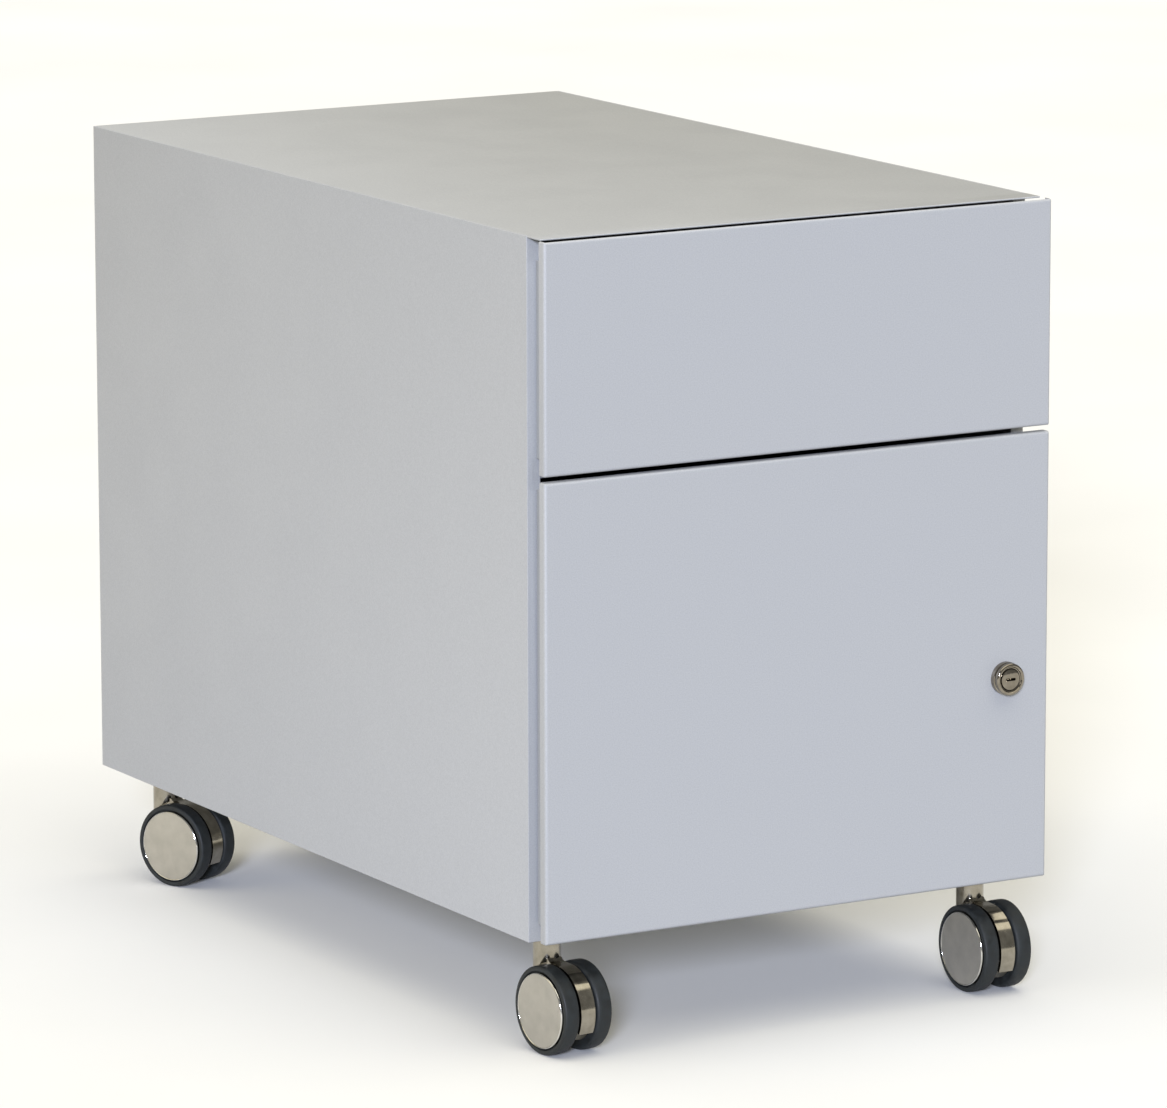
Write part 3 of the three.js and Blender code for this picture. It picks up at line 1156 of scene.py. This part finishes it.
@dataclass
class DrawerFront:
    """The outer pan of a drawer front: a face with soft bends and shallow edges."""

    drawer: Drawer
    sheet_mm: float = 1.2
    bend_mm: float = 2.0
    corner_mm: float = 1.2

    def build(self) -> bpy.types.Object:
        """Makes and dresses the pan.

        Returns:
            The dressed pan.
        """
        node = f"{self.drawer.value}_drawer_front"
        low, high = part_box(node)
        depth = high.y - low.y
        corners = [(low.x, low.z), (high.x, low.z), (high.x, high.z), (low.x, high.z)]
        reach = self.bend_mm * 1.5 * MM
        profile = [(0.0, depth), (0.0, 0.0), (reach, 0.0)]
        pan = folded_box(
            f"{node}_pan", corners, profile, low.y, Lay.FACING_FRONT,
            self.sheet_mm * MM, self.bend_mm * MM, self.corner_mm * MM, 8,
        )
        cutter = self.lock_hole(low.y) if self.drawer is Drawer.LOWER else self.open_top(low, high)
        boolean(pan, cutter, "DIFFERENCE")
        smooth(pan, 40.0)
        return fit(pan, POWDER, self.drawer.body, [node])

    def open_top(self, low: Vector, high: Vector) -> bpy.types.Object:
        """A tool that cuts away the fold along the top, behind the face.

        Args:
            low: the low corner of the front's box.
            high: the high corner of the front's box.

        Returns:
            The tool.
        """
        sheet = self.sheet_mm * MM
        edge = (self.bend_mm + 0.1) * MM
        outline = [
            (low.y + sheet, high.z - edge), (high.y + MM, high.z - edge),
            (high.y + MM, high.z + MM), (low.y + sheet, high.z + MM),
        ]
        return plate("open top", outline, low.x + sheet, high.x - sheet, Matrix.Identity(4))

    def lock_hole(self, face: float) -> bpy.types.Object:
        """A tool that cuts the hole for the lock's barrel.

        Args:
            face: where the front's face is along Y.

        Returns:
            The tool.
        """
        low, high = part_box("lock_housing")
        middle = (low + high) / 2
        radius = (high.x - low.x) / 2 - 1.6 * MM
        profile = [(0.0, -5 * MM), (radius, -5 * MM), (radius, 10 * MM), (0.0, 10 * MM)]
        place = Matrix.Translation((middle.x, face, middle.z)) @ Matrix.Rotation(math.pi / 2, 4, "Z")
        return turned("lock hole", profile, 64, place)


@dataclass
class DrawerBox:
    """What is behind a drawer front: its inner pan and the tray."""

    drawer: Drawer
    repeater: Repeater
    sheet_mm: float = 1.2
    bend_mm: float = 2.2
    lip_mm: float = 6.0
    screw_span_mm: float = 240.0

    def build(self) -> None:
        """Makes and dresses the inner pan, the tray and their small parts."""
        word = self.drawer.value
        backing = soften(copy_of(f"{word}_drawer_backing", f"{word}_drawer_inner_pan"), 0.5)
        fit(backing, INNER_POWDER, self.drawer.body, [f"{word}_drawer_backing"])
        self.tray()
        if self.drawer is Drawer.LOWER:
            for side in Side:
                node = f"{side.word}_file_rail"
                rail = soften(copy_of(node, f"{side.word}_folder_rail"), 0.5)
                fit(rail, ZINC, self.drawer.body, [node])
        self.front_screws()

    def tray(self) -> None:
        """The folded tray with its lip turned in."""
        node = f"{self.drawer.value}_drawer_tray"
        low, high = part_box(node)
        corners = [(low.x, low.y), (high.x, low.y), (high.x, high.y), (low.x, high.y)]
        height = high.z - low.z
        reach = self.bend_mm * 1.6 * MM
        profile = [(self.lip_mm * MM, height), (0.0, height), (0.0, 0.0), (reach, 0.0)]
        tray = folded_box(
            f"{node}_folded", corners, profile, low.z, Lay.OPEN_UPWARDS,
            self.sheet_mm * MM, self.bend_mm * MM, 1.5 * MM, 6,
        )
        smooth(tray, 40.0)
        nodes = [node, f"{node}_back"] if self.drawer is Drawer.UPPER else [node]
        fit(tray, INNER_POWDER, self.drawer.body, nodes)

    def front_screws(self) -> None:
        """Pan-head screws through the tray into the inner pan."""
        low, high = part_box(f"{self.drawer.value}_drawer_tray")
        shape = small_shape("front screw", dome(3.6 * MM, 2.0 * MM), 20, "y")
        span = self.screw_span_mm * MM
        rise = (high.z - low.z) * 0.5
        start = (-span / 2, low.y + self.sheet_mm * MM, low.z + rise * 0.5)
        row = Row(start, (span, 0, 0), 2, (0, 0, rise), 2)
        self.repeater.run(f"{self.drawer.value}_front_screws", shape, row, ZINC, self.drawer.body)
        drop(shape)


@dataclass
class SlidePair:
    """The telescopic ball slides at both sides of one drawer."""

    drawer: Drawer
    repeater: Repeater
    ball_mm: float = 0.8
    pitch_mm: float = 9.0
    lead_mm: float = 12.0
    track_gap_mm: float = 0.9

    def build(self) -> None:
        """Makes and dresses the slide channels and their balls."""
        word = self.drawer.value
        homes = {"cabinet_rail": "case", "middle_rail": f"{word}_slides", "drawer_rail": self.drawer.body}
        for side in Side:
            for part, body in homes.items():
                node = f"{word}_{side.word}_{part}"
                channel = soften(copy_of(node, f"{node}_channel"), 0.4)
                fit(channel, ZINC, body, [node])
            self.balls(side)

    def balls(self, side: Side) -> None:
        """Rows of steel balls above and below the middle channel.

        Args:
            side: which slide of the pair.
        """
        word = self.drawer.value
        low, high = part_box(f"{word}_{side.word}_middle_rail")
        gap = self.track_gap_mm * MM
        shape = small_shape("ball", ball_profile(self.ball_mm * MM, 6), 10, "z")
        count = int((high.y - low.y) * 0.5 / (self.pitch_mm * MM))
        start = ((low.x + high.x) / 2, low.y + self.lead_mm * MM, high.z + gap)
        row = Row(start, (0, self.pitch_mm * MM, 0), count, (0, 0, low.z - high.z - 2 * gap), 2)
        self.repeater.run(f"{word}_{side.word}_balls", shape, row, STEEL_BALL, f"{word}_slides")
        drop(shape)


def ball_profile(radius: float, steps: int) -> list[Point2]:
    """Half a circle, from pole to pole.

    Args:
        radius: the ball's radius.
        steps: how many faces the half circle has.

    Returns:
        Points of (radius, distance along the axis).
    """
    profile = []
    for k in range(steps + 1):
        angle = math.pi * k / steps
        on_axis = k in (0, steps)
        profile.append((0.0 if on_axis else radius * math.sin(angle), -radius * math.cos(angle)))
    return profile


# ---------------------------------------------------------------- lock


@dataclass
class CamLock:
    """The round cam lock: a stepped chrome housing and a plug with a keyway."""

    sides: int = 96
    keyway_mm: tuple[float, float] = (8.0, 1.9)

    def build(self) -> None:
        """Makes and dresses the housing, the plug and the cam."""
        low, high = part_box("lock_housing")
        plug_low, plug_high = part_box("lock_plug")
        axis = Vector(((low.x + high.x) / 2, low.y, (low.z + high.z) / 2))
        place = Matrix.Translation(axis) @ Matrix.Rotation(math.pi / 2, 4, "Z")
        pan_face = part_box("lower_drawer_front")[0].y
        plug_radius = (plug_high.x - plug_low.x) / 2
        self.housing(place, (high.x - low.x) / 2, plug_radius, pan_face - low.y, high.y - low.y)
        self.plug(place, plug_radius, plug_low.y - low.y, plug_high.y - low.y)
        cam = soften(copy_of("lock_cam", "lock_cam_plate"), 0.4)
        fit(cam, ZINC, "lock", ["lock_cam"])

    def housing(self, place: Matrix, radius: float, plug: float, proud: float, length: float) -> None:
        """A barrel with two turned grooves and a rounded rim.

        Args:
            place: puts the lock's axis, which is X before it, where it belongs.
            radius: the radius of the rim.
            plug: the radius of the plug inside it.
            proud: how far the rim stands out of the front.
            length: the length of the barrel.
        """
        bore = plug + 0.25 * MM
        barrel = radius - 1.8 * MM
        front = radius - 0.3 * MM
        profile = [
            (bore, 2.4 * MM), (bore + 0.3 * MM, 1.3 * MM), (bore + 0.9 * MM, 1.1 * MM),
            (bore + 1.1 * MM, 0.4 * MM),
            (bore + 1.5 * MM, 0.05 * MM), (front - 1.3 * MM, 0.0), (front - 0.6 * MM, 0.25 * MM),
            (front - 0.15 * MM, 0.7 * MM),
            (front, 1.2 * MM), (front, 2.9 * MM), (front - 0.7 * MM, 3.2 * MM), (front - 0.7 * MM, 4.1 * MM),
            (radius - 0.1 * MM, 4.5 * MM), (radius, 5.0 * MM), (radius, proud - 0.2 * MM),
            (barrel, proud - 0.2 * MM), (barrel, length), (bore, length),
        ]
        housing = smooth(turned("lock_housing_turned", profile, self.sides, place), 35.0)
        fit(housing, SHADED_LOCK_CHROME, "lower_drawer", ["lock_housing"])

    def plug(self, place: Matrix, radius: float, start: float, end: float) -> None:
        """The plug with a rounded edge and a keyway across it.

        Args:
            place: puts the lock's axis, which is X before it, where it belongs.
            radius: the plug's radius.
            start: where its face is along the axis.
            end: where its tail ends.
        """
        tail = end - 3.5 * MM
        spigot = 3.0 * MM
        profile = [
            (0.0, start), (radius - 0.6 * MM, start), (radius - 0.15 * MM, start + 0.2 * MM),
            (radius, start + 0.6 * MM), (radius, tail), (spigot, tail), (spigot, end), (0.0, end),
        ]
        plug = turned("lock_plug_turned", profile, self.sides, place)
        wide, high = (v * MM / 2 for v in self.keyway_mm)
        steps = 8
        ends = [
            (side * (wide - high) + high * math.cos(angle), high * math.sin(angle))
            for side, first in ((1, -math.pi / 2), (-1, math.pi / 2))
            for angle in (first + math.pi * k / steps for k in range(steps + 1))
        ]
        slot_place = place @ Matrix.Rotation(math.pi / 2, 4, "X")
        reach = (start - MM, start + 9 * MM)
        points = [tuple(slot_place @ Vector((x, b, a))) for x in reach for a, b in ends]
        count = len(ends)
        faces = [list(range(count)), [count + k for k in reversed(range(count))]]
        faces += [[k, (k + 1) % count, count + (k + 1) % count, count + k] for k in range(count)]
        boolean(plug, mesh_piece("keyway", points, faces), "DIFFERENCE")
        smooth(plug, 35.0)
        fit(plug, SHADED_LOCK_CHROME, "lock", ["lock_plug"])


# ---------------------------------------------------------------- castors


@dataclass
class Castor:
    """One twin-wheel castor, drawn about its swivel axis with the wheels trailing towards -Y."""

    name: str
    sweep: RingSweep
    radius_mm: float = 30.0
    trail_mm: float = 19.0
    inner_mm: float = 7.1
    outer_mm: float = 19.1
    cap_mm: float = 25.5
    hood_radius_mm: float = 28.8
    hood_wall_mm: float = 2.4
    hood_half_mm: float = 5.6
    hood_below_mm: float = 13.0
    neck_radius_mm: float = 9.5
    neck_top_mm: float = 75.7
    sides: int = 112

    def __post_init__(self) -> None:
        """Reads the swivel's place and the wheels' direction from the joints."""
        joints = {joint["name"]: joint for joint in frame["joints"]}
        swivel = joints[f"{self.name}_swivel_turn"]["pos_m"]
        spin = joints[f"{self.name}_left_wheel_spin"]["axis"]
        turn = math.atan2(spin[1], spin[0])
        self.place = Matrix.Translation((swivel[0], swivel[1], 0)) @ Matrix.Rotation(turn, 4, "Z")
        self.axle = Matrix.Translation((0, -self.trail_mm * MM, self.radius_mm * MM))

    def build(self) -> None:
        """Makes and dresses the hood, the core and both wheels."""
        self.hood()
        self.core()
        dress_node(f"{self.name}_axle", ZINC)
        stem = soften(copy_of(f"{self.name}_castor_stem", f"{self.name}_castor_bolt"), 0.3)
        fit(stem, ZINC, "case", [f"{self.name}_castor_stem"])
        for side in Side:
            self.tyre(side)
            self.hub(side)

    def arc(self, radius_mm: float, start: float, stop: float, steps: int) -> list[Point2]:
        """Points of an arc about the axle, in degrees from +Y towards +Z.

        Args:
            radius_mm: the arc's radius.
            start: the angle of its first point.
            stop: the angle of its last point.
            steps: how many faces it has.

        Returns:
            Points of (y, z), in metres.
        """
        points = []
        for k in range(steps + 1):
            angle = math.radians(start + (stop - start) * k / steps)
            points.append(
                (
                    (-self.trail_mm + radius_mm * math.cos(angle)) * MM,
                    (self.radius_mm + radius_mm * math.sin(angle)) * MM,
                )
            )
        return points

    def hood(self) -> None:
        """The chromed casting: a neck that flows into a band between the wheels."""
        end = 180 + math.degrees(math.asin(self.hood_below_mm / self.hood_radius_mm))
        inside = self.hood_radius_mm - self.hood_wall_mm
        outline = [*self.arc(self.hood_radius_mm, 35, end, 56), *self.arc(inside, end, 35, 56)]
        half = self.hood_half_mm * MM
        band = plate(f"{self.name}_hood_casting", outline, -half, half, Matrix.Identity(4))
        crown = self.radius_mm + self.hood_radius_mm
        root = -self.neck_radius_mm
        fillet = [(root + 0.5, crown + 2.6), (root - 0.2, crown + 1.7), (root - 0.9, crown + 1.0),
                  (root - 2.0, crown + 0.5), (root - 4.0, crown + 0.15), (-self.trail_mm, crown)]
        shoulder = [(-self.trail_mm, crown - 2), (0, crown - 2), (0, crown + 2.6), *fillet]
        outline = [(y * MM, z * MM) for y, z in shoulder]
        boolean(band, plate("shoulder", outline, -half, half, Matrix.Identity(4)), "UNION")
        neck_profile = [
            (0.0, 46.0 * MM), (self.neck_radius_mm * MM, 46.0 * MM),
            (self.neck_radius_mm * MM, (self.neck_top_mm - 0.8) * MM),
            ((self.neck_radius_mm - 0.8) * MM, self.neck_top_mm * MM), (0.0, self.neck_top_mm * MM),
        ]
        up = Matrix.Rotation(-math.pi / 2, 4, "Y")
        neck = turned("neck", neck_profile, 96, up)
        boolean(band, neck, "UNION")
        for side in Side:
            near, far = sorted((side.value * half, side.value * 30 * MM))
            reach = (self.radius_mm + 1.2) * MM
            profile = [(0.0, near), (reach, near), (reach, far), (0.0, far)]
            boolean(band, turned("wheel room", profile, 128, self.axle), "DIFFERENCE")
        band.data.transform(self.place)
        soften(band, 0.5, 2, 28.0)
        fit(band, SHADED_HOOD_CHROME, f"{self.name}_swivel", [f"{self.name}_castor_hood"])

    def core(self) -> None:
        """The black carrier between the wheels that holds the axle."""
        inside = self.hood_radius_mm - self.hood_wall_mm - 0.05
        outline = [*self.arc(inside, 50, 190, 40), *self.arc(9.0, 215, 330, 12)]
        half = (self.hood_half_mm - 0.8) * MM
        core = plate(f"{self.name}_carrier", outline, -half, half, Matrix.Identity(4))
        core.data.transform(self.place)
        soften(core, 0.6, 2, 40.0)
        fit(core, NYLON, f"{self.name}_swivel")

    def wheel_place(self, side: Side) -> Matrix:
        """Puts a piece drawn along +X from the castor's middle on its side."""
        flip = Matrix.Identity(4) if side is Side.RIGHT else Matrix.Rotation(math.pi, 4, "Z")
        return self.place @ self.axle @ flip

    def tyre(self, side: Side) -> None:
        """A moulded tyre with a round inner shoulder, a tight outer one and a groove beside the cap.

        Args:
            side: which of the twin wheels.
        """
        tread = self.radius_mm
        seat = self.cap_mm - 2.2
        inner, outer = self.inner_mm, self.outer_mm
        profile = [(seat, inner), (tread - 2.2, inner)]
        profile += quarter_round(tread - 2.2, inner + 2.6, 2.15, -2.6, 5)
        profile += [(tread, inner + 3.6), (tread, outer - 3.4)]
        profile += list(reversed(quarter_round(tread - 1.7, outer - 2.0, 1.65, 1.6, 6)))
        groove = self.cap_mm + 1.0
        profile += [
            (groove + 0.9, outer - 0.3), (groove + 0.2, outer - 0.6), (groove, outer - 1.2),
            (groove, outer - 2.9), (seat, outer - 2.9),
        ]
        name = f"{self.name}_{side.word}_tyre"
        points = [(radius * MM, along * MM) for radius, along in profile]
        tyre = self.sweep.run(f"{name}_moulded", points, self.sides, TYRE, self.wheel_place(side))
        fit(smooth(tyre, 40.0), TYRE, f"{self.name}_{side.word}_wheel", [name])

    def hub(self, side: Side) -> None:
        """The wheel's core with a satin cap, and the polished ring round the cap.

        Args:
            side: which of the twin wheels.
        """
        cap = self.cap_mm
        face = self.outer_mm + 0.5
        seat = cap - 2.5
        bore = 3.3
        ring = cap - 1.0
        profile = [
            (0.0, face - 0.25), (ring, face - 0.25), (ring, face - 3.1), (seat, face - 3.1),
            (seat, self.inner_mm), (bore, self.inner_mm), (bore, face - 2.6), (0.0, face - 2.6),
        ]
        name = f"{self.name}_{side.word}_hub"
        points = [(radius * MM, along * MM) for radius, along in profile]
        hub = smooth(turned(f"{name}_capped", points, self.sides, self.wheel_place(side)), 40.0)
        fit(hub, CAP, f"{self.name}_{side.word}_wheel", [name])
        profile = [
            (ring, face - 0.3), (ring + 0.2, face - 0.05), (ring + 0.35, face), (cap - 0.3, face - 0.25),
            (cap - 0.08, face - 0.6), (cap, face - 1.1), (cap, face - 3.1), (ring, face - 3.1),
        ]
        points = [(radius * MM, along * MM) for radius, along in profile]
        bright = self.sweep.run(
            f"{self.name}_{side.word}_cap_ring", points, self.sides, CHROME, self.wheel_place(side)
        )
        fit(smooth(bright, 50.0), CHROME, f"{self.name}_{side.word}_wheel")


# ---------------------------------------------------------------- studio


@dataclass(frozen=True)
class SoftLight:
    """One broad, distant light: where it comes from and how soft it is."""

    name: str
    colour: str
    strength: float
    azimuth: float
    elevation: float
    softness: float


@dataclass
class Studio:
    """A pale floor, soft light from near the camera, from the left and from above, and the camera.

    The light by the camera is cool and the rest is warm, so the front looks bluer than the side and top.
    """

    azimuth: float = 30.13
    elevation: float = 10.89
    roll: float = 0.106
    distance: float = 5.1653
    lens_mm: float = 227.6
    aim_right: float = 0.01817
    aim_down: float = 0.00345
    room_colour: str = "#fbfbf8"
    room_strength: float = 0.3
    lights: tuple[SoftLight, ...] = (
        SoftLight("light by the camera", "#dfe7ff", 3.05, -35.0, 17.0, 10.0),
        SoftLight("light from the left", "#fff0c4", 0.6, -110.0, 24.0, 50.0),
        SoftLight("light from above", "#fffae8", 1.85, 20.0, 80.0, 80.0),
    )

    def build(self) -> None:
        """Makes the floor, the lights, the room's light and the camera."""
        self.floor()
        self.room()
        for light in self.lights:
            self.light(light)
        self.camera()

    def floor(self) -> None:
        """A wide flat floor, which fills the view and throws no light back up."""
        reach = 20.0
        points = [(-reach, -reach, 0.0), (reach, -reach, 0.0), (reach, reach, 0.0), (-reach, reach, 0.0)]
        mesh = bpy.data.meshes.new("floor")
        mesh.from_pydata(points, [], [(0, 1, 2, 3)])
        floor = bpy.data.objects.new("floor", mesh)
        bpy.context.scene.collection.objects.link(floor)
        mesh.materials.append(FLOOR.material())
        floor.visible_diffuse = False

    def room(self) -> None:
        """Even light from the whole room."""
        world = bpy.data.worlds.new("studio room")
        world.use_nodes = True
        sky = world.node_tree.nodes["Background"]
        sky.inputs["Color"].default_value = linear(self.room_colour)
        sky.inputs["Strength"].default_value = self.room_strength
        bpy.context.scene.world = world

    def light(self, light: SoftLight) -> None:
        """One distant lamp, turned towards the object.

        Args:
            light: the lamp's place and colour.
        """
        lamp = bpy.data.lights.new(light.name, "SUN")
        lamp.energy = light.strength
        lamp.angle = math.radians(light.softness)
        lamp.color = linear(light.colour)[:3]
        turn, lift = math.radians(light.azimuth), math.radians(light.elevation)
        source = Vector((math.sin(turn) * math.cos(lift), -math.cos(turn) * math.cos(lift), math.sin(lift)))
        holder = bpy.data.objects.new(light.name, lamp)
        holder.location = source * 4
        holder.rotation_euler = (-source).to_track_quat("-Z", "Y").to_euler()
        bpy.context.scene.collection.objects.link(holder)

    def camera(self) -> None:
        """A long lens a few metres off, a little above the top."""
        low, high = CAD_BOX
        centre = (low + high) / 2
        turn, lift = math.radians(self.azimuth), math.radians(self.elevation)
        forward = Vector((math.sin(turn) * math.cos(lift), math.cos(turn) * math.cos(lift), -math.sin(lift)))
        right = forward.cross(Vector((0, 0, 1))).normalized()
        down = forward.cross(right)
        aim = centre + right * self.aim_right + down * self.aim_down
        data = bpy.data.cameras.new("camera")
        data.lens = self.lens_mm
        data.sensor_width = 36.0
        data.clip_start, data.clip_end = 0.1, 60.0
        camera = bpy.data.objects.new("camera", data)
        camera.matrix_world = (
            Matrix.Translation(aim - forward * self.distance)
            @ forward.to_track_quat("-Z", "Y").to_matrix().to_4x4()
            @ Matrix.Rotation(math.radians(-self.roll), 4, "Z")
        )
        bpy.context.scene.collection.objects.link(camera)
        bpy.context.scene.camera = camera


# ---------------------------------------------------------------- the whole


def main() -> None:
    """Builds every sub-assembly in order."""
    logging.basicConfig(level=logging.INFO, format="%(name)s: %(message)s")
    bpy.context.scene.view_settings.view_transform = "Standard"
    case = Case()
    case.build()
    for drawer in Drawer:
        DrawerFront(drawer).build()
        DrawerBox(drawer, case.repeater).build()
        SlidePair(drawer, case.repeater).build()
    CamLock().build()
    sweep = RingSweep()
    for name in ("front_left", "front_right", "rear_left", "rear_right"):
        Castor(name, sweep).build()
    Studio().build()


if __name__ == "__main__":
    main()
